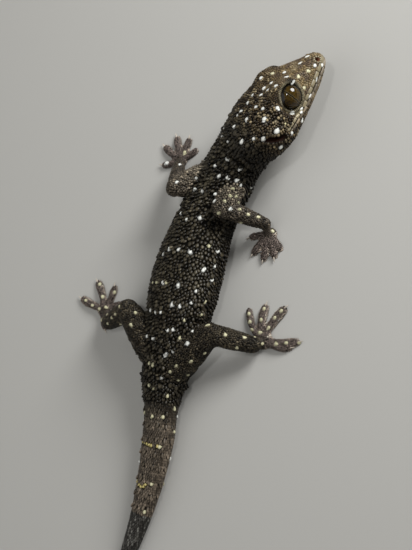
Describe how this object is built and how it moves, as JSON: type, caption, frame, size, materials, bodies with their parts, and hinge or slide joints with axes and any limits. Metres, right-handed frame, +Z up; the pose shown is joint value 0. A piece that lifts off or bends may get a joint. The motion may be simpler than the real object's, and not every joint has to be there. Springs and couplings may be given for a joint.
{
  "type": "tokay gecko",
  "caption": "Life-size still model of a dark, white-spotted tokay gecko lying on its belly, legs folded out, head turned and tilted, with a regrown tail end.",
  "frame": {"origin": "on the belly's resting flat, under the middle of the trunk, at floor level", "axes": "+Y toward the head along the trunk, +X toward the animal's right side, +Z up; the floor is the plane z = 0"},
  "size_m": [0.1, 0.2426, 0.0274],
  "materials": {
    "skin": "matte granular skin, near black with white spots",
    "eye": "wet gloss over a dark olive-brown iris"
  },
  "bodies": {
    "root": {"head": "skin", "eye_left": "eye", "eye_right": "eye", "neck": "skin", "torso": "skin", "tail": "skin", "tail_regrown": "skin", "upper_arm_left": "skin", "forearm_left": "skin", "hand_left": "skin", "upper_arm_right": "skin", "forearm_right": "skin", "hand_right": "skin", "thigh_left": "skin", "shin_left": "skin", "foot_left": "skin", "thigh_right": "skin", "shin_right": "skin", "foot_right": "skin"}
  },
  "joints": []
}
